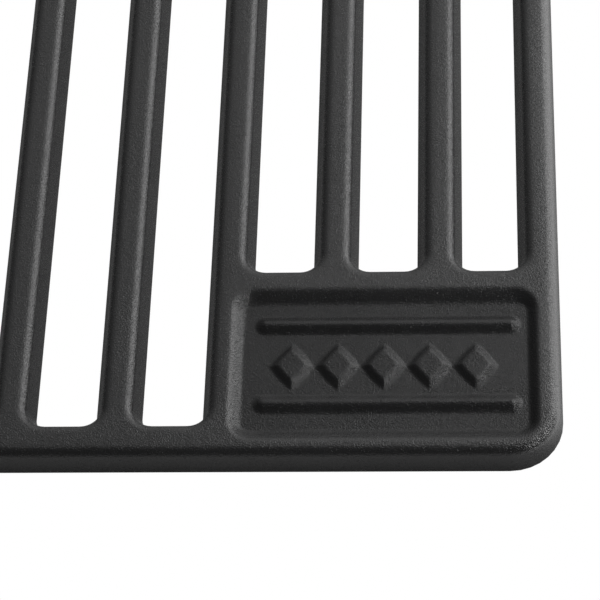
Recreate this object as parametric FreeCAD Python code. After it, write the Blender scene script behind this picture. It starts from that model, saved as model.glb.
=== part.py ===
"""Slotted cooking grate with two folding lift handles.

A rectangular enamelled grate lies flat: bars along Y, pitch along X, thickness along Z.
The origin is the centre of the flat underside.  Each short side carries a wire bail that
turns in two riveted lugs and swings up from the table and over the rim.
All lengths are millimetres and all angles are degrees.
"""
import FreeCAD, Part
import math
import os

V = FreeCAD.Vector

# Plate
PLATE_THICKNESS = 6.5
PLATE_DEPTH = 401.5
BAR_PITCH = 20.0
BAR_COUNT = 23
BAR_WIDTH = 8.89
SIDE_RIM = 8.2
END_RIM = 8.75
END_SLOT = 10.4
CROSS_RAIL = 10.0
CORNER_RADIUS = 10.5
SLOT_RADIUS = 2.4
DRAFT = 11.0
TOP_ROUND = 1.8
LOWER_ROUND = 1.0

# Nameplate panel in the front right corner
PANEL_SLOTS = 3
PANEL_DEPTH = 42.3
PANEL_SIDE = 5.5
PANEL_BACK = 5.3
PANEL_FRONT = 4.6
RECESS = 2.0
RECESS_DRAFT = 35.0
RECESS_RADIUS = 3.0
RECESS_ROUND = 1.5
RIB_LENGTH = 48.2
RIB_RADIUS = 1.2
RIB_HEIGHT = 1.0
RIB_SPACING = 17.3
LOZENGE_COUNT = 5
LOZENGE_PITCH = 8.4
LOZENGE_WIDTH = 8.0
LOZENGE_LENGTH = 9.0
LOZENGE_HEIGHT = 0.9
LOZENGE_SLOPE = 0.6

# Handle lugs, rivets, bails and grips
LAND_HALF = 58.0
LUG_CENTRE = 45.0
LUG_WIDTH = 16.0
LUG_THICKNESS = 2.0
LUG_LIFT = 0.2
LUG_INNER = 18.3
LUG_TONGUE = 19.2
EAR_THICKNESS = 2.5
EAR_RADIUS = 5.5
PIVOT_OUT = 8.2
PIVOT_HEIGHT = 4.6
POCKET_GAP = 0.3
WIRE_RADIUS = 2.0
PIVOT_CLEARANCE = 0.08
BAIL_REACH = 50.0
BAIL_BEND = 8.0
PIVOT_BEND = 4.0
PEEN_RADIUS = 2.9
PEEN_LENGTH = 1.2
RIVET_RADIUS = 2.0
RIVET_CLEARANCE = 0.02
RIVET_HEAD = 3.6
RIVET_DOME = 1.8
RIVET_PLACES = (4.8, 13.8)
RIVET_SINK = 1.4
COIL_WIRE = 0.8
COIL_GAP = 0.15
COIL_LENGTH = 56.0
COIL_PITCH = 1.75

# Places worked out from the sizes above
BAR_EDGE = BAR_PITCH * (BAR_COUNT - 1) / 2 + BAR_WIDTH / 2
RIM_INNER = BAR_EDGE + END_SLOT
HALF_WIDTH = RIM_INNER + SIDE_RIM
HALF_DEPTH = PLATE_DEPTH / 2
PANEL_LEFT = BAR_EDGE - (PANEL_SLOTS - 1) * BAR_PITCH - BAR_WIDTH
PANEL_TOP = PANEL_DEPTH - HALF_DEPTH
PIVOT_X = HALF_WIDTH + PIVOT_OUT
BEYOND = 1.0


def rounded_outline(x0, x1, y0, y1, radius, z):
    """Closed wire of a rectangle with rounded corners at height z."""
    corners = ((x1 - radius, y0 + radius, -90), (x1 - radius, y1 - radius, 0),
               (x0 + radius, y1 - radius, 90), (x0 + radius, y0 + radius, 180))
    arcs = []
    for cx, cy, start in corners:
        circle = Part.Circle(V(cx, cy, z), V(0, 0, 1), radius)
        arcs.append(Part.Arc(circle, math.radians(start), math.radians(start + 90)).toShape())
    edges = []
    for here, after in zip(arcs, arcs[1:] + arcs[:1]):
        edges.append(here)
        edges.append(Part.makeLine(here.lastVertex().Point, after.firstVertex().Point))
    return Part.Wire(edges)


def drafted_block(x0, x1, y0, y1, radius, base_z, low, high, draft):
    """Block whose outline is given at base_z and grows upward by the draft angle."""
    rings = []
    for z in (low, high):
        grow = (z - base_z) * math.tan(math.radians(draft))
        rings.append(rounded_outline(x0 - grow, x1 + grow, y0 - grow, y1 + grow, radius + grow, z))
    return Part.makeLoft(rings, True, True)


def slot_spans():
    """Plan rectangles of all the slots as (x0, x1, y0, y1)."""
    slot_width = BAR_PITCH - BAR_WIDTH
    front = END_RIM - HALF_DEPTH
    rail = CROSS_RAIL / 2
    spans = []
    for index in range(BAR_COUNT - 1):
        centre = (index - (BAR_COUNT - 2) / 2) * BAR_PITCH
        x0 = centre - slot_width / 2
        start = PANEL_TOP if x0 > PANEL_LEFT else front
        spans.append((x0, x0 + slot_width, start, -rail))
        spans.append((x0, x0 + slot_width, rail, -front))
    spans.append((BAR_EDGE, RIM_INNER, PANEL_TOP, -LAND_HALF))
    spans.append((BAR_EDGE, RIM_INNER, LAND_HALF, -front))
    spans.append((-RIM_INNER, -BAR_EDGE, front, -LAND_HALF))
    spans.append((-RIM_INNER, -BAR_EDGE, LAND_HALF, -front))
    return spans


def level_edges(shape, z):
    """Edges that lie wholly at height z."""
    found = []
    for edge in shape.Edges:
        box = edge.BoundBox
        if abs(box.ZMin - z) < 1e-4 and abs(box.ZMax - z) < 1e-4:
            found.append(edge)
    return found


def recess_span():
    """Plan rectangle of the recess at the plate's top as (x0, x1, y0, y1)."""
    return (PANEL_LEFT + PANEL_SIDE, HALF_WIDTH - PANEL_SIDE,
            PANEL_FRONT - HALF_DEPTH, PANEL_TOP - PANEL_BACK)


def inside_recess(edge):
    """True for an edge that belongs to the nameplate recess."""
    x0, x1, y0, y1 = recess_span()
    box = edge.BoundBox
    return (box.XMin > x0 - BEYOND and box.XMax < x1 + BEYOND
            and box.YMin > y0 - BEYOND and box.YMax < y1 + BEYOND)


def recess_block():
    """Drafted cutter of the nameplate recess."""
    x0, x1, y0, y1 = recess_span()
    slope = RECESS * math.tan(math.radians(RECESS_DRAFT))
    floor = PLATE_THICKNESS - RECESS
    return drafted_block(x0 + slope, x1 - slope, y0 + slope, y1 - slope, RECESS_RADIUS,
                         floor, floor, PLATE_THICKNESS + BEYOND, RECESS_DRAFT)


def panel_centre():
    """Centre of the recess floor in plan."""
    x0, x1, y0, y1 = recess_span()
    return (x0 + x1) / 2, (y0 + y1) / 2


def panel_ribs():
    """Two raised round ribs with ball ends on the recess floor."""
    x, y = panel_centre()
    floor = PLATE_THICKNESS - RECESS
    z = floor + RIB_HEIGHT - RIB_RADIUS
    ribs = []
    for side in (-1, 1):
        start = V(x - RIB_LENGTH / 2 + RIB_RADIUS, y + side * RIB_SPACING / 2, z)
        length = RIB_LENGTH - 2 * RIB_RADIUS
        rod = Part.makeCylinder(RIB_RADIUS, length, start, V(1, 0, 0))
        for place in (start, start + V(length, 0, 0)):
            rod = rod.fuse(Part.makeSphere(RIB_RADIUS, place))
        ribs.append(rod)
    return ribs


def lozenge(x, y, half_x, half_y, z):
    """Closed diamond outline."""
    points = [V(x - half_x, y, z), V(x, y - half_y, z), V(x + half_x, y, z), V(x, y + half_y, z)]
    return Part.makePolygon(points + points[:1])


def panel_lozenges():
    """Row of plain raised lozenges between the two ribs."""
    x, y = panel_centre()
    floor = PLATE_THICKNESS - RECESS
    raised = []
    for index in range(LOZENGE_COUNT):
        cx = x + (index - (LOZENGE_COUNT - 1) / 2) * LOZENGE_PITCH
        low = lozenge(cx, y, LOZENGE_WIDTH / 2, LOZENGE_LENGTH / 2, floor - BEYOND / 4)
        high = lozenge(cx, y, LOZENGE_WIDTH / 2 - LOZENGE_SLOPE, LOZENGE_LENGTH / 2 - LOZENGE_SLOPE,
                       floor + LOZENGE_HEIGHT)
        raised.append(Part.makeLoft([low, high], True, True))
    return raised


def lug_places():
    """Signs of the four lugs as (side along X, end along Y)."""
    return ((1, -1), (1, 1), (-1, -1), (-1, 1))


def placed(shape, side, end):
    """Mirror a shape built for the right back lug to another corner."""
    if side < 0:
        shape = shape.mirror(V(0, 0, 0), V(1, 0, 0))
    if end < 0:
        shape = shape.mirror(V(0, 0, 0), V(0, 1, 0))
    return shape


def lug_pocket():
    """Shallow pocket under the rim that the lug's base sits in."""
    width = LUG_WIDTH + 2 * POCKET_GAP
    start = V(HALF_WIDTH - LUG_INNER - POCKET_GAP, LUG_CENTRE - width / 2, -BEYOND)
    return Part.makeBox(LUG_INNER + POCKET_GAP + BEYOND, width, LUG_LIFT + LUG_THICKNESS + BEYOND, start)


def rivet_holes(radius):
    """Vertical rods through both rivet places of the right back lug."""
    rods = []
    for inset in RIVET_PLACES:
        start = V(HALF_WIDTH - inset, LUG_CENTRE, -BEYOND)
        rods.append(Part.makeCylinder(radius, PLATE_THICKNESS + 2 * BEYOND, start))
    return rods


def grate_plate():
    """The slotted plate with its panel, handle lands, pockets and rivet holes."""
    shrink = -DRAFT
    plate = drafted_block(-HALF_WIDTH, HALF_WIDTH, -HALF_DEPTH, HALF_DEPTH, CORNER_RADIUS,
                          0, 0, PLATE_THICKNESS, shrink)
    cutters = []
    for x0, x1, y0, y1 in slot_spans():
        cutters.append(drafted_block(x0, x1, y0, y1, SLOT_RADIUS, 0, -BEYOND,
                                     PLATE_THICKNESS + BEYOND, DRAFT))
    plate = plate.cut(Part.makeCompound(cutters))
    plate = plate.cut(recess_block())
    top = level_edges(plate, PLATE_THICKNESS)
    recess_edges = [edge for edge in top if inside_recess(edge)]
    recess_edges += level_edges(plate, PLATE_THICKNESS - RECESS)
    plate = plate.makeFillet(RECESS_ROUND, recess_edges)
    top = [edge for edge in level_edges(plate, PLATE_THICKNESS) if not inside_recess(edge)]
    plate = plate.makeFillet(TOP_ROUND, top)
    plate = plate.makeFillet(LOWER_ROUND, level_edges(plate, 0))
    plate = plate.fuse(panel_ribs() + panel_lozenges())
    removed = []
    for side, end in lug_places():
        for cutter in [lug_pocket()] + rivet_holes(RIVET_RADIUS + RIVET_CLEARANCE):
            removed.append(placed(cutter, side, end))
    return plate.cut(removed)


def handle_lug():
    """Right back lug: base strip with a rounded ear turned up at its outer end."""
    outer = LUG_CENTRE + LUG_WIDTH / 2
    start = V(HALF_WIDTH - LUG_INNER, LUG_CENTRE - LUG_WIDTH / 2, LUG_LIFT)
    base = Part.makeBox(LUG_INNER + LUG_TONGUE, LUG_WIDTH, LUG_THICKNESS, start)
    ear_base = V(PIVOT_X - EAR_RADIUS, outer - EAR_THICKNESS, LUG_LIFT)
    ear = Part.makeBox(2 * EAR_RADIUS, EAR_THICKNESS, PIVOT_HEIGHT - LUG_LIFT, ear_base)
    centre = V(PIVOT_X, outer - EAR_THICKNESS, PIVOT_HEIGHT)
    disc = Part.makeCylinder(EAR_RADIUS, EAR_THICKNESS, centre, V(0, 1, 0))
    below = Part.makeBox(4 * EAR_RADIUS, 2 * EAR_THICKNESS, 2 * EAR_RADIUS,
                         V(PIVOT_X - 2 * EAR_RADIUS, outer - 1.5 * EAR_THICKNESS,
                           LUG_LIFT - 2 * EAR_RADIUS))
    lug = base.fuse([ear, disc]).cut(below)
    bore = Part.makeCylinder(WIRE_RADIUS + PIVOT_CLEARANCE, EAR_THICKNESS + 2 * BEYOND,
                             centre - V(0, BEYOND, 0), V(0, 1, 0))
    holes = [bore] + rivet_holes(RIVET_RADIUS + RIVET_CLEARANCE)
    for inset in RIVET_PLACES:
        sink = Part.makeCone(RIVET_RADIUS + RIVET_CLEARANCE + RIVET_SINK, RIVET_RADIUS + RIVET_CLEARANCE,
                             RIVET_SINK, V(HALF_WIDTH - inset, LUG_CENTRE, LUG_LIFT))
        holes.append(sink)
    return lug.cut(holes).removeSplitter()


def lug_rivets():
    """Two domed rivets of the right back lug, flush underneath."""
    rivets = []
    head_z = PLATE_THICKNESS
    sphere_radius = (RIVET_HEAD ** 2 + RIVET_DOME ** 2) / (2 * RIVET_DOME)
    for inset in RIVET_PLACES:
        x = HALF_WIDTH - inset
        shank = Part.makeCylinder(RIVET_RADIUS, head_z - LUG_LIFT, V(x, LUG_CENTRE, LUG_LIFT))
        foot = Part.makeCone(RIVET_RADIUS + RIVET_SINK, RIVET_RADIUS, RIVET_SINK, V(x, LUG_CENTRE, LUG_LIFT))
        ball = Part.makeSphere(sphere_radius, V(x, LUG_CENTRE, head_z + RIVET_DOME - sphere_radius))
        cap = Part.makeCylinder(RIVET_HEAD, RIVET_DOME, V(x, LUG_CENTRE, head_z))
        rivets.append(shank.fuse([foot, ball.common(cap)]).removeSplitter())
    return Part.makeCompound(rivets)


def bail_handle():
    """Right bail: one bent round wire, its ends turned outward through the ears and peened."""
    z = PIVOT_HEIGHT
    leg_y = LUG_CENTRE
    far_x = PIVOT_X + BAIL_REACH
    tip_y = LUG_CENTRE + LUG_WIDTH / 2 + PEEN_LENGTH / 4
    half = math.sqrt(0.5)
    edges = []
    for end in (-1, 1):
        pivot_mid = V(PIVOT_X + PIVOT_BEND * (1 - half), end * (leg_y + PIVOT_BEND * (1 - half)), z)
        far_mid = V(far_x - BAIL_BEND * (1 - half), end * (leg_y - BAIL_BEND * (1 - half)), z)
        tip = V(PIVOT_X, end * tip_y, z)
        bend_in = V(PIVOT_X, end * (leg_y + PIVOT_BEND), z)
        bend_out = V(PIVOT_X + PIVOT_BEND, end * leg_y, z)
        turn_in = V(far_x - BAIL_BEND, end * leg_y, z)
        turn_out = V(far_x, end * (leg_y - BAIL_BEND), z)
        side = [Part.makeLine(tip, bend_in),
                Part.Arc(bend_in, pivot_mid, bend_out).toShape(),
                Part.makeLine(bend_out, turn_in),
                Part.Arc(turn_in, far_mid, turn_out).toShape()]
        edges.append(side)
    grip_line = Part.makeLine(edges[0][-1].lastVertex().Point, edges[1][-1].lastVertex().Point)
    path = Part.Wire(Part.__sortEdges__(edges[0] + [grip_line] + edges[1]))
    ring = Part.Wire(Part.Circle(V(PIVOT_X, -tip_y, z), V(0, 1, 0), WIRE_RADIUS).toShape())
    wire = path.makePipeShell([ring], True, False)
    heads = []
    for end in (-1, 1):
        heads.append(Part.makeCylinder(PEEN_RADIUS, PEEN_LENGTH, V(PIVOT_X, end * tip_y, z), V(0, end, 0)))
    return wire.fuse(heads).removeSplitter()


def coil_grip():
    """Close-wound coil that is sprung tight round the straight part of the right bail."""
    coil_radius = WIRE_RADIUS + COIL_GAP + COIL_WIRE
    helix = Part.makeHelix(COIL_PITCH, COIL_LENGTH, coil_radius)
    ring = Part.Wire(Part.Circle(V(coil_radius, 0, 0), V(0, 1, 0), COIL_WIRE).toShape())
    coil = Part.Wire(helix).makePipeShell([ring], True, True)
    coil.rotate(V(0, 0, 0), V(1, 0, 0), -90)
    coil.translate(V(PIVOT_X + BAIL_REACH, -COIL_LENGTH / 2, PIVOT_HEIGHT))
    return coil


def write(name, shape):
    """Write one sub-part and report its size."""
    shape.exportStep("parts/" + name + ".step")
    box = shape.BoundBox
    print(name, shape.isValid(), len(shape.Solids), "volume %.1f" % shape.Volume,
          "box %.2f %.2f %.2f .. %.2f %.2f %.2f" % (box.XMin, box.YMin, box.ZMin, box.XMax, box.YMax, box.ZMax))


def main():
    os.makedirs("parts", exist_ok=True)
    write("grate_plate", grate_plate())
    lug = handle_lug()
    rivets = lug_rivets()
    for side, end in lug_places():
        corner = ("right" if side > 0 else "left") + ("_back" if end > 0 else "_front")
        write(corner + "_lug", placed(lug, side, end))
        write(corner + "_rivets", placed(rivets, side, end))
    bail = bail_handle()
    coil = coil_grip()
    for side, name in ((1, "right"), (-1, "left")):
        write(name + "_bail", placed(bail, side, 1))
        write(name + "_coil_grip", placed(coil, side, 1))


main()
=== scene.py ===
"""Looks of the slotted cooking grate with two folding lift handles.

Lengths are metres, except where a comment says millimetres and in the plate's own mesh code,
which works in millimetres and is scaled once at the end.
"""

import math

import bpy
import numpy as np
from mathutils import Matrix, Vector
from mathutils.geometry import delaunay_2d_cdt


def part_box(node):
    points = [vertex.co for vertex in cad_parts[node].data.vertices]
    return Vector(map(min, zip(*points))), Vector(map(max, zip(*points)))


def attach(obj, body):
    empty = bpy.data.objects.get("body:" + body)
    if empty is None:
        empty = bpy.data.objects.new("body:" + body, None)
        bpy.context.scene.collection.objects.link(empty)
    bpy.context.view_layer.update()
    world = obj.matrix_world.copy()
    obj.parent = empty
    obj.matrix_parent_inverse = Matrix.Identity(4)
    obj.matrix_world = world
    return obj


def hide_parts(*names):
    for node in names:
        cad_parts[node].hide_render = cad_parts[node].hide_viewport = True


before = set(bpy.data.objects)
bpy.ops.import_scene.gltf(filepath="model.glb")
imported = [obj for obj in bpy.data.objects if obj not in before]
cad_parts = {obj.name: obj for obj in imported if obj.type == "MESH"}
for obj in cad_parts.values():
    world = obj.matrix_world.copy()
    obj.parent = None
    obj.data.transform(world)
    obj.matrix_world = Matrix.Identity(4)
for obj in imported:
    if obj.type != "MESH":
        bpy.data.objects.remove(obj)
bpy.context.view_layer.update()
MM = 0.001

# Plate, in millimetres: its box is the CAD plate's, and the rest is its plan
PLATE_LOW, PLATE_HIGH = (Vector(corner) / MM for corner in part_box("grate_plate"))
THICKNESS = PLATE_HIGH.z - PLATE_LOW.z
HALF_WIDTH = PLATE_HIGH.x
HALF_DEPTH = PLATE_HIGH.y
BAR_PITCH = 20.0
BAR_COUNT = 23
BAR_WIDTH = 8.66
SIDE_RIM = 7.81
END_RIM = 8.68
CROSS_RAIL = 9.7
LAND_HALF = 57.8
CORNER_RADIUS = 10.0
SLOT_RADIUS = 2.4
BAR_EDGE = BAR_PITCH * (BAR_COUNT - 1) / 2 + BAR_WIDTH / 2

# Section of an edge, in millimetres, from the underside to the crown
LOWER_ROUND = 1.2
RIM_DRAFT = math.radians(11)
RIM_SHOULDER = 2.05
SLOT_DRAFT = math.radians(19)
SLOT_SHOULDER = 1.9
SHOULDER_END = math.radians(3)
CROWN_RADIUS = 15.0

# Nameplate panel, in millimetres
PANEL_SLOTS = 3
PANEL_DEPTH = 42.73
PANEL_LEFT = BAR_EDGE - (PANEL_SLOTS - 1) * BAR_PITCH - BAR_WIDTH
RECESS_HIGH = 1.45
RECESS_LOW = 1.6
RECESS_RUN_LEFT = 3.0
RECESS_RUN_RIGHT = 2.5
RECESS_RUN_BACK = 3.9
RECESS_ROUNDED = 0.32
RECESS_RADIUS = 5.0
RECESS_LEFT = 4.65
RECESS_RIGHT = 4.1
RECESS_BACK = 5.2
RECESS_FRONT = 3.05
RIB_LENGTH = 50.6
RIB_WIDTH = 4.6
RIB_SHIFT = Vector((0.7, 0.45))
RIB_HEIGHT = 0.95
RIB_SPACING = 17.3
LOZENGE_COUNT = 5
LOZENGE_PITCH = 8.6
LOZENGE_HALF_WIDTH = 4.4
LOZENGE_HALF_LENGTH = 5.4
LOZENGE_HEIGHT = 0.85
LOZENGE_EDGE = 0.5
LOZENGE_POWER = 1.15

# Steps and tolerances of the plate's mesh, in millimetres
LOWER_POINTS = 7
ARC_POINTS = 17
CROWN_FIRST = LOWER_POINTS + ARC_POINTS
CORNER_STEPS = 8
CROWN_RINGS = 4
GRID_STEP = 0.34
GRID_CLEARANCE = 0.2
RING_SLACK = 0.01
FILL_SLACK = 0.04
SLOPE_STEP = 0.01
WELD = 1e-5
TINY = 1e-6

# Enamel: tones, roughness, noise scales per metre, bump depths in metres
ENAMEL_DARK = (0.006, 0.006, 0.0062)
ENAMEL_LIGHT = (0.009, 0.009, 0.0093)
ENAMEL_ROUGHNESS = (0.23, 0.28)
ENAMEL_SPECULAR = (0.5, 0.32)
PATCH_SCALE = 70
GRAIN_SCALE = 4200
GRAIN_DEPTH = 0.00011
PEEL_SCALE = 1500
PEEL_DEPTH = 0.00004

# Part of its range that a noise texture mostly takes
NOISE_MIDDLE = (0.3, 0.7)

# Floor: half its side and its grey
FLOOR_HALF = 12.0
FLOOR_GREY = 0.38

# How far below the plate the floor and the table glows lie, in millimetres
FLOOR_DROP = 0.3
GLOW_DROP = 0.2

# Camera
LENS = 161.0
EYE = Vector((0.22544, -0.44582, 0.43119))
AIM = Vector((0.19365, -0.16721, 0.008))
ROLL = math.radians(-5.87)

# Studio dome: where it is brightest, and its level from square to that direction (0) to straight at it (1)
DOME_BRIGHT_SIDE = (0.25, 0.86, 0.44)
DOME = ((0.2, 0.15), (0.4, 0.16), (0.6, 0.52), (0.79, 0.42), (0.83, 0.72), (0.87, 0.95), (1.0, 1.35))

# Softboxes: direction seen from AIM, distance along it, size, radiance
SOFTBOXES = {
    "right_strip": ((0.52, 0.52, 0.68), 1.3, (0.34, 1.2), 6.4),
    "corner_softbox": ((0.73, -0.26, 0.64), 1.4, (0.2, 0.14), 85.0),
    "right_window": ((0.8, 0.55, 0.2), 1.4, (0.9, 0.7), 3.0),
}

# Bright patches of table: span from the plate's right edge and span in depth, in millimetres, and radiance
TABLE_GLOWS = {
    "right_table": ((2, 8), (-320, 200), 0.6),
    "right_far_table": ((8, 400), (-320, 300), 2.4),
    "front_table": ((-600, 0), (-320, -204), 0.3),
}


def section_profile(draft, shoulder):
    """Points (inset, height) of an edge's section from the underside to the flat of the top."""
    points = []
    for step in range(LOWER_POINTS):
        angle = (math.pi / 2 + draft) * step / (LOWER_POINTS - 1)
        points.append((LOWER_ROUND * (1 - math.sin(angle)), LOWER_ROUND * (1 - math.cos(angle))))
    shoulder_z = shoulder * (math.cos(SHOULDER_END) - math.sin(draft))
    crown_z = CROWN_RADIUS * (1 - math.cos(SHOULDER_END))
    wall_inset, wall_z = points[-1]
    wall_top = THICKNESS - shoulder_z - crown_z
    start = wall_inset + (wall_top - wall_z) * math.tan(draft)
    for step in range(ARC_POINTS):
        tilt = math.pi / 2 - draft + (SHOULDER_END - math.pi / 2 + draft) * step / (ARC_POINTS - 1)
        points.append((start + shoulder * (math.cos(draft) - math.sin(tilt)),
                       wall_top + shoulder * (math.cos(tilt) - math.sin(draft))))
    crown_start = points[-1][0]
    for step in range(1, ARC_POINTS):
        tilt = SHOULDER_END * (1 - step / (ARC_POINTS - 1))
        points.append((crown_start + CROWN_RADIUS * (math.sin(SHOULDER_END) - math.sin(tilt)),
                       THICKNESS - CROWN_RADIUS * (1 - math.cos(tilt))))
    return np.array(points)


RIM_PROFILE = section_profile(RIM_DRAFT, RIM_SHOULDER)
SLOT_PROFILE = section_profile(SLOT_DRAFT, SLOT_SHOULDER)


def slot_spans():
    """Plan rectangles of all the slots as (x0, x1, y0, y1)."""
    front = END_RIM - HALF_DEPTH
    rail = CROSS_RAIL / 2
    panel_top = PANEL_DEPTH - HALF_DEPTH
    rim_inner = HALF_WIDTH - SIDE_RIM
    spans = []
    for index in range(BAR_COUNT - 1):
        centre = (index - (BAR_COUNT - 2) / 2) * BAR_PITCH
        x0 = centre - (BAR_PITCH - BAR_WIDTH) / 2
        x1 = centre + (BAR_PITCH - BAR_WIDTH) / 2
        start = panel_top if x0 > PANEL_LEFT else front
        spans.append((x0, x1, start, -rail))
        spans.append((x0, x1, rail, -front))
    spans.append((BAR_EDGE, rim_inner, panel_top, -LAND_HALF))
    spans.append((BAR_EDGE, rim_inner, LAND_HALF, -front))
    spans.append((-rim_inner, -BAR_EDGE, front, -LAND_HALF))
    spans.append((-rim_inner, -BAR_EDGE, LAND_HALF, -front))
    return spans


SLOTS = slot_spans()
OUTER = (-HALF_WIDTH, HALF_WIDTH, -HALF_DEPTH, HALF_DEPTH)


def box_distance(x, y, span, radius):
    """Signed distance to a rounded rectangle, negative inside."""
    x0, x1, y0, y1 = span
    qx = np.abs(x - (x0 + x1) / 2) - (x1 - x0) / 2 + radius
    qy = np.abs(y - (y0 + y1) / 2) - (y1 - y0) / 2 + radius
    outside = np.hypot(np.maximum(qx, 0), np.maximum(qy, 0))
    return outside + np.minimum(np.maximum(qx, qy), 0) - radius


def edge_distances(x, y):
    """Distances from a point of the metal to the plate's outline and to the nearest slot."""
    slot = np.full(np.shape(x), np.inf)
    for span in SLOTS:
        slot = np.minimum(slot, box_distance(x, y, span, SLOT_RADIUS))
    return -box_distance(x, y, OUTER, CORNER_RADIUS), slot


def crown_clearance(x, y):
    """How far a point lies inside the crown, past the end of the nearest shoulder."""
    rim, slot = edge_distances(x, y)
    return np.minimum(rim - RIM_PROFILE[CROWN_FIRST - 1, 0], slot - SLOT_PROFILE[CROWN_FIRST - 1, 0])


def under_clearance(x, y):
    """How far a point lies inside the flat underside, past the lower rounding."""
    return np.minimum(*edge_distances(x, y)) - LOWER_ROUND


def smooth(t):
    """S-shaped step from 0 to 1."""
    t = np.clip(t, 0, 1)
    return t * t * (3 - 2 * t)


def slope(t):
    """Straight step from 0 to 1 with both ends rounded off."""
    t = np.clip(t, 0, 1)
    end = RECESS_ROUNDED
    foot = t * t / (2 * end)
    head = 1 - end - (1 - t) ** 2 / (2 * end)
    return np.where(t < end, foot, np.where(t > 1 - end, head, t - end / 2)) / (1 - end)


def recess_span():
    """Plan rectangle of the recess at the plate's top."""
    return (PANEL_LEFT + RECESS_LEFT, HALF_WIDTH - RECESS_RIGHT,
            RECESS_FRONT - HALF_DEPTH, PANEL_DEPTH - HALF_DEPTH - RECESS_BACK)


def sunk_share(x, y):
    """How far a point is down the recess's wall: 0 on the plate's top, 1 on the recess's floor."""
    x0, x1, y0, y1 = recess_span()
    middle_x = (x0 + x1) / 2
    middle_y = (y0 + y1) / 2
    out_x = np.maximum(np.abs(x - middle_x) - (x1 - x0) / 2 + RECESS_RADIUS, 0)
    out_y = np.maximum(np.abs(y - middle_y) - (y1 - y0) / 2 + RECESS_RADIUS, 0)
    out = np.maximum(np.hypot(out_x, out_y), TINY)
    run_x = np.where(x < middle_x, RECESS_RUN_LEFT, RECESS_RUN_RIGHT)
    run = np.maximum(np.hypot(out_x * run_x, out_y * RECESS_RUN_BACK) / out, TINY)
    return slope((RECESS_RADIUS - out) / run)


def panel_relief(x, y):
    """Height of the panel's relief relative to the plate's top: recess, ribs and lozenges."""
    x0, x1, y0, y1 = recess_span()
    middle_x = (x0 + x1) / 2
    middle_y = (y0 + y1) / 2
    sunk = sunk_share(x, y)
    raised = np.zeros_like(sunk)
    for side in (-1, 1):
        centre_x = middle_x + RIB_SHIFT.x
        centre_y = middle_y + RIB_SHIFT.y + side * RIB_SPACING / 2
        span = (centre_x - RIB_LENGTH / 2, centre_x + RIB_LENGTH / 2,
                centre_y - RIB_WIDTH / 2, centre_y + RIB_WIDTH / 2)
        rib = RIB_HEIGHT * smooth(-box_distance(x, y, span, RIB_WIDTH / 2) / (RIB_WIDTH / 2))
        raised = np.maximum(raised, rib)
    for index in range(LOZENGE_COUNT):
        centre_x = middle_x + (index - (LOZENGE_COUNT - 1) / 2) * LOZENGE_PITCH
        across = np.abs(x - centre_x) / LOZENGE_HALF_WIDTH
        along = np.abs(y - middle_y) / LOZENGE_HALF_LENGTH
        reach = (across ** LOZENGE_POWER + along ** LOZENGE_POWER) ** (1 / LOZENGE_POWER)
        raised = np.maximum(raised, LOZENGE_HEIGHT * smooth((1 - reach) / LOZENGE_EDGE))
    depth = np.interp(y, (y0, y1), (RECESS_LOW, RECESS_HIGH))
    return raised - depth * sunk


def top_height(x, y):
    """Height of the plate's upper surface."""
    rim, slot = edge_distances(x, y)
    rim_z = np.interp(rim, *RIM_PROFILE[LOWER_POINTS - 1:].T)
    slot_z = np.interp(slot, *SLOT_PROFILE[LOWER_POINTS - 1:].T)
    return np.minimum(rim_z, slot_z) + panel_relief(x, y)


def ring(span, radius, inset):
    """Plan points round a rounded rectangle that is grown (or shrunk) by inset."""
    x0, x1, y0, y1 = span
    radius = radius + inset
    x0, x1, y0, y1 = x0 - inset, x1 + inset, y0 - inset, y1 + inset
    corners = ((x1 - radius, y0 + radius, -90), (x1 - radius, y1 - radius, 0),
               (x0 + radius, y1 - radius, 90), (x0 + radius, y0 + radius, 180))
    points = []
    for cx, cy, start in corners:
        for step in range(CORNER_STEPS + 1):
            angle = math.radians(start + 90 * step / CORNER_STEPS)
            points.append((cx + radius * math.cos(angle), cy + radius * math.sin(angle)))
    return np.array(points)


def outlines():
    """(span, corner radius, section, sign of growth into the metal) of every edge of the plate."""
    listed = [(OUTER, CORNER_RADIUS, RIM_PROFILE, -1)]
    for span in SLOTS:
        listed.append((span, SLOT_RADIUS, SLOT_PROFILE, 1))
    return listed


def plate_walls():
    """Rings of vertices from the underside up to the crown's start, and the quads between them."""
    verts, normals, quads = [], [], []
    low_rings, high_rings = [], []
    for span, radius, section, sign in outlines():
        profile = section[:CROWN_FIRST]
        tangent = np.gradient(profile, axis=0)
        tangent[0] = (-1, 0)  # the section leaves the flat underside
        tangent /= np.linalg.norm(tangent, axis=1)[:, None]
        inward = sign * (ring(span, radius, 1.0) - ring(span, radius, 0.0))
        count = len(inward)
        inward /= np.linalg.norm(inward, axis=1)[:, None]
        first = len(verts)
        for (inset, z), (along, up) in zip(profile, tangent):
            for point, away in zip(ring(span, radius, sign * inset), inward):
                verts.append((point[0], point[1], z))
                normals.append((-up * away[0], -up * away[1], along))
        levels = len(profile)
        for level in range(levels - 1):
            for here in range(count):
                after = (here + 1) % count
                a = first + level * count + here
                b = first + level * count + after
                quad = (a, b, b + count, a + count)
                quads.append(quad if sign < 0 else quad[::-1])
        low_rings.append(list(range(first, first + count)))
        high_rings.append(list(range(first + (levels - 1) * count, first + levels * count)))
    return verts, normals, quads, low_rings, high_rings


def loop_edges(loop):
    """Edges that close a loop of indices."""
    return [(a, b) for a, b in zip(loop, loop[1:] + loop[:1])]


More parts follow.
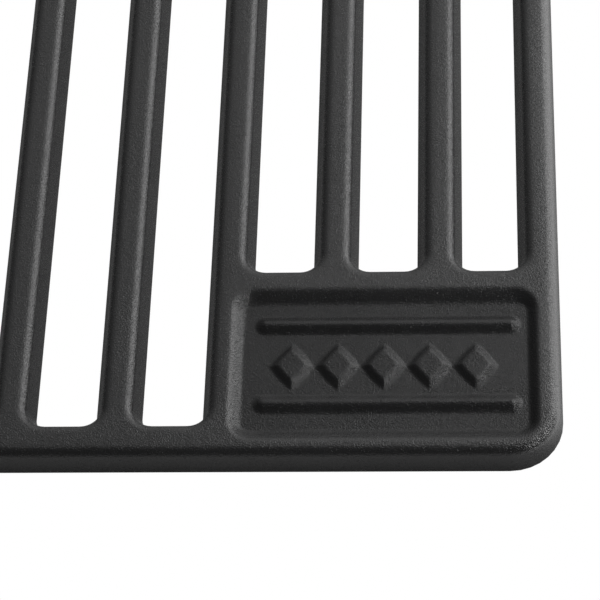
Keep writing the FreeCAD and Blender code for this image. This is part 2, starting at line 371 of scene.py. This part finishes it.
def crown_points():
    """Free plan points of the upper surface: crown rings round each edge, and the panel's grid."""
    x0, x1, y0, y1 = recess_span()
    points = []
    for span, radius, section, sign in outlines():
        start, end = section[CROWN_FIRST - 1, 0], section[-1, 0]
        for inset in np.linspace(start, end, CROWN_RINGS + 1)[1:]:
            loop = ring(span, radius, sign * inset)
            points.append(loop[crown_clearance(loop[:, 0], loop[:, 1]) > inset - start - RING_SLACK])
    points = np.concatenate(points)
    margin = GRID_STEP
    inside = ((points[:, 0] > x0 - margin) & (points[:, 0] < x1 + margin)
              & (points[:, 1] > y0 - margin) & (points[:, 1] < y1 + margin))
    columns = np.arange(x0 - margin / 2, x1 + margin, GRID_STEP)
    rows = np.arange(y0 - margin / 2, y1 + margin, GRID_STEP)
    grid = np.array([(x, y) for y in rows for x in columns])
    clear = crown_clearance(grid[:, 0], grid[:, 1]) > GRID_CLEARANCE
    return np.concatenate([points[~inside], grid[clear]])


def fill(plan, edges, clearance):
    """Points, the triangles of the metal between closed loops, and each point's places in plan."""
    result = delaunay_2d_cdt([Vector(p) for p in plan], edges, [], 1, WELD)
    found, triangles, origins = result[0], result[2], result[3]
    found = np.array([tuple(v) for v in found])
    triangles = np.array([t for t in triangles if len(t) == 3])
    centre = found[triangles].mean(axis=1)
    kept = clearance(centre[:, 0], centre[:, 1]) > -FILL_SLACK
    return found, triangles[kept], origins


def plate_mesh():
    """The whole plate as one closed mesh with exact normals; pooled is 1 on the recess's floor."""
    verts, normals, faces, low_rings, high_rings = plate_walls()

    rim_ids = [index for loop in high_rings for index in loop]
    where = {index: place for place, index in enumerate(rim_ids)}
    plan = [verts[index][:2] for index in rim_ids] + [tuple(p) for p in crown_points()]
    edges = [(where[a], where[b]) for loop in high_rings for a, b in loop_edges(loop)]
    found, triangles, origins = fill(plan, edges, crown_clearance)
    step = SLOPE_STEP
    x, y = found[:, 0], found[:, 1]
    z = top_height(x, y)
    slope_x = (top_height(x + step, y) - top_height(x - step, y)) / (2 * step)
    slope_y = (top_height(x, y + step) - top_height(x, y - step)) / (2 * step)
    number = []
    for index, source in enumerate(origins):
        rim = [s for s in source if s < len(rim_ids)]
        if rim:
            number.append(rim_ids[rim[0]])
        else:
            number.append(len(verts))
            verts.append((x[index], y[index], z[index]))
            normals.append((-slope_x[index], -slope_y[index], 1.0))
    faces += [tuple(number[i] for i in triangle) for triangle in triangles]

    low_ids = [index for loop in low_rings for index in loop]
    where = {index: place for place, index in enumerate(low_ids)}
    plan = [verts[index][:2] for index in low_ids]
    edges = [(where[a], where[b]) for loop in low_rings for a, b in loop_edges(loop)]
    found, triangles, origins = fill(plan, edges, under_clearance)
    number = [low_ids[source[0]] for source in origins]
    faces += [tuple(number[i] for i in triangle[::-1]) for triangle in triangles]

    mesh = bpy.data.meshes.new("grate")
    mesh.from_pydata((np.array(verts) * MM).tolist(), [], faces)
    mesh.polygons.foreach_set("use_smooth", [True] * len(mesh.polygons))
    normals = np.array(normals)
    normals /= np.linalg.norm(normals, axis=1)[:, None]
    mesh.normals_split_custom_set_from_vertices(normals.tolist())
    x, y, z = np.array(verts).T
    pooled = mesh.attributes.new("pooled", "FLOAT", "POINT")
    pooled.data.foreach_set("value", np.where(z > THICKNESS / 2, sunk_share(x, y), 0))
    mesh.update()
    return mesh


# Materials

def new_material(name):
    """A node material, its node tree and its shader."""
    material = bpy.data.materials.new(name)
    material.use_nodes = True
    tree = material.node_tree
    return material, tree, tree.nodes["Principled BSDF"]


def noise(tree, scale, detail=2.0):
    """A noise texture in the object's own coordinates, features about 1 / scale metres across."""
    place = tree.nodes.new("ShaderNodeTexCoord")
    texture = tree.nodes.new("ShaderNodeTexNoise")
    texture.inputs["Scale"].default_value = scale
    texture.inputs["Detail"].default_value = detail
    tree.links.new(place.outputs["Object"], texture.inputs["Vector"])
    return texture.outputs["Fac"]


def spread(tree, value, inputs, outputs):
    """Maps one range of a value to another range."""
    node = tree.nodes.new("ShaderNodeMapRange")
    sockets = ("From Min", "From Max", "To Min", "To Max")
    for socket, number in zip(sockets, (*inputs, *outputs)):
        node.inputs[socket].default_value = number
    tree.links.new(value, node.inputs["Value"])
    return node.outputs["Result"]


def two_tone(tree, value, dark, light):
    """Colour between two tones."""
    node = tree.nodes.new("ShaderNodeValToRGB")
    node.color_ramp.elements[0].color = (*dark, 1)
    node.color_ramp.elements[0].position = NOISE_MIDDLE[0]
    node.color_ramp.elements[1].color = (*light, 1)
    node.color_ramp.elements[1].position = NOISE_MIDDLE[1]
    tree.links.new(value, node.inputs["Fac"])
    return node.outputs["Color"]


def bump(tree, value, depth, under=None):
    """Bump node of a real depth in metres, on top of another one."""
    node = tree.nodes.new("ShaderNodeBump")
    node.inputs["Distance"].default_value = depth
    tree.links.new(value, node.inputs["Height"])
    if under is not None:
        tree.links.new(under, node.inputs["Normal"])
    return node.outputs["Normal"]


def enamel_material():
    """Black satin enamel over cast iron: fine grain on a faint orange peel, duller in the recess."""
    material, tree, shader = new_material("black_enamel")
    patches = noise(tree, PATCH_SCALE, detail=3.0)
    grain = noise(tree, GRAIN_SCALE, detail=1.0)
    peel = noise(tree, PEEL_SCALE)
    tree.links.new(two_tone(tree, patches, ENAMEL_DARK, ENAMEL_LIGHT), shader.inputs["Base Color"])
    tree.links.new(spread(tree, grain, NOISE_MIDDLE, ENAMEL_ROUGHNESS), shader.inputs["Roughness"])
    pooled = tree.nodes.new("ShaderNodeAttribute")
    pooled.attribute_name = "pooled"
    gloss = spread(tree, pooled.outputs["Fac"], (0, 1), ENAMEL_SPECULAR)
    tree.links.new(gloss, shader.inputs["Specular IOR Level"])
    lower = bump(tree, peel, PEEL_DEPTH)
    tree.links.new(bump(tree, grain, GRAIN_DEPTH, under=lower), shader.inputs["Normal"])
    return material


def black_steel_material():
    """Satin black paint on the pressed lugs."""
    material, tree, shader = new_material("black_steel")
    dark, light = (0.012, 0.012, 0.012), (0.024, 0.023, 0.022)
    roughness = (0.36, 0.5)
    grain = noise(tree, scale=1500)
    wear = noise(tree, scale=160, detail=4.0)
    tree.links.new(two_tone(tree, wear, dark, light), shader.inputs["Base Color"])
    tree.links.new(spread(tree, wear, NOISE_MIDDLE, roughness), shader.inputs["Roughness"])
    tree.links.new(bump(tree, grain, depth=0.00003), shader.inputs["Normal"])
    return material


def steel_material(name, greys, roughness):
    """Bare steel, a little blue, with a slightly uneven surface."""
    material, tree, shader = new_material(name)
    blue = 1.02
    dark, light = ((grey, grey, grey * blue) for grey in greys)
    cloud = noise(tree, scale=240, detail=4.0)
    fine = noise(tree, scale=3000)
    tree.links.new(two_tone(tree, cloud, dark, light), shader.inputs["Base Color"])
    tree.links.new(spread(tree, cloud, NOISE_MIDDLE, roughness), shader.inputs["Roughness"])
    shader.inputs["Metallic"].default_value = 1.0
    tree.links.new(bump(tree, fine, depth=0.00001), shader.inputs["Normal"])
    return material


def repaint(node, material):
    """Gives every material slot of a CAD node one material."""
    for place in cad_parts[node].material_slots:
        place.material = material


# Surroundings

def floor():
    """Plain white floor: matt to the light that falls on the object, clear white to the camera."""
    mesh = bpy.data.meshes.new("floor")
    z = (PLATE_LOW.z - FLOOR_DROP) * MM
    corners = [(x * FLOOR_HALF, y * FLOOR_HALF, z) for x, y in ((-1, -1), (1, -1), (1, 1), (-1, 1))]
    mesh.from_pydata(corners, [], [(0, 1, 2, 3)])
    material = bpy.data.materials.new("white_floor")
    material.use_nodes = True
    tree = material.node_tree
    tree.nodes.clear()
    matt = tree.nodes.new("ShaderNodeBsdfDiffuse")
    matt.inputs["Color"].default_value = (FLOOR_GREY, FLOOR_GREY, FLOOR_GREY, 1)
    glow = tree.nodes.new("ShaderNodeEmission")
    path = tree.nodes.new("ShaderNodeLightPath")
    mix = tree.nodes.new("ShaderNodeMixShader")
    output = tree.nodes.new("ShaderNodeOutputMaterial")
    tree.links.new(path.outputs["Is Camera Ray"], mix.inputs[0])
    tree.links.new(matt.outputs[0], mix.inputs[1])
    tree.links.new(glow.outputs[0], mix.inputs[2])
    tree.links.new(mix.outputs[0], output.inputs[0])
    mesh.materials.append(material)
    plane = bpy.data.objects.new("floor", mesh)
    bpy.context.scene.collection.objects.link(plane)


def softbox(name, place, size, radiance, target):
    """Rectangular area light of an even radiance, facing the target point."""
    data = bpy.data.lights.new(name, "AREA")
    data.shape = "RECTANGLE"
    data.size, data.size_y = size
    data.energy = radiance * math.pi * size[0] * size[1]
    light = bpy.data.objects.new(name, data)
    light.location = place
    light.rotation_mode = "QUATERNION"
    light.rotation_quaternion = (target - place).to_track_quat("-Z", "Y")
    light.visible_camera = False
    bpy.context.scene.collection.objects.link(light)


def table_glow(name, beyond, depth, radiance):
    """Bright patch of table: a flat light facing up, placed from the plate's right edge."""
    x0, x1 = (PLATE_HIGH.x + distance for distance in beyond)
    y0, y1 = depth
    centre = Vector(((x0 + x1) / 2, (y0 + y1) / 2, PLATE_LOW.z - GLOW_DROP)) * MM
    softbox(name, centre, ((x1 - x0) * MM, (y1 - y0) * MM), radiance, centre + Vector((0, 0, 1)))


def sky():
    """Studio dome: bright behind the object, dark in front and overhead, plain white to the camera."""
    world = bpy.data.worlds.new("studio")
    world.use_nodes = True
    tree = world.node_tree
    place = tree.nodes.new("ShaderNodeTexCoord")
    toward = tree.nodes.new("ShaderNodeVectorMath")
    toward.operation = "DOT_PRODUCT"
    toward.inputs[1].default_value = DOME_BRIGHT_SIDE
    ramp = tree.nodes.new("ShaderNodeValToRGB")
    while len(ramp.color_ramp.elements) < len(DOME):
        ramp.color_ramp.elements.new(0.5)
    for element, (position, level) in zip(ramp.color_ramp.elements, DOME):
        element.position = position
        element.color = (level, level, level, 1)
    path = tree.nodes.new("ShaderNodeLightPath")
    mix = tree.nodes.new("ShaderNodeMix")
    mix.data_type = "RGBA"
    mix.inputs["B"].default_value = (1, 1, 1, 1)
    tree.links.new(place.outputs["Generated"], toward.inputs[0])
    tree.links.new(toward.outputs["Value"], ramp.inputs["Fac"])
    tree.links.new(ramp.outputs["Color"], mix.inputs["A"])
    tree.links.new(path.outputs["Is Camera Ray"], mix.inputs["Factor"])
    tree.links.new(mix.outputs["Result"], tree.nodes["Background"].inputs["Color"])
    bpy.context.scene.world = world


def camera():
    """Long lens above the panel corner, looking along the bars and down."""
    data = bpy.data.cameras.new("camera")
    data.sensor_width = 36
    data.lens = LENS
    eye = bpy.data.objects.new("camera", data)
    eye.location = EYE
    eye.rotation_mode = "QUATERNION"
    turn = (AIM - EYE).to_track_quat("-Z", "Y")
    eye.rotation_quaternion = turn @ Matrix.Rotation(ROLL, 3, "Z").to_quaternion()
    bpy.context.scene.collection.objects.link(eye)
    bpy.context.scene.camera = eye
    data.clip_start = 0.01
    data.clip_end = 100


enamel = enamel_material()
finishes = {
    "_lug": black_steel_material(),
    "_rivets": steel_material("rivet_steel", greys=(0.30, 0.42), roughness=(0.32, 0.45)),
    "_bail": steel_material("wire_steel", greys=(0.45, 0.56), roughness=(0.24, 0.36)),
    "_coil_grip": steel_material("spring_steel", greys=(0.50, 0.62), roughness=(0.18, 0.28)),
}

grate = bpy.data.objects.new("grate", plate_mesh())
grate.data.materials.append(enamel)
bpy.context.scene.collection.objects.link(grate)
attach(grate, "grate")
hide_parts("grate_plate")

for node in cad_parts:
    for ending, finish in finishes.items():
        if node.endswith(ending):
            repaint(node, finish)

floor()
sky()
for name, (direction, distance, size, radiance) in SOFTBOXES.items():
    softbox(name, AIM + distance * Vector(direction), size, radiance, AIM)
for name, (beyond, depth, radiance) in TABLE_GLOWS.items():
    table_glow(name, beyond, depth, radiance)
camera()
bpy.context.scene.view_settings.view_transform = "Standard"
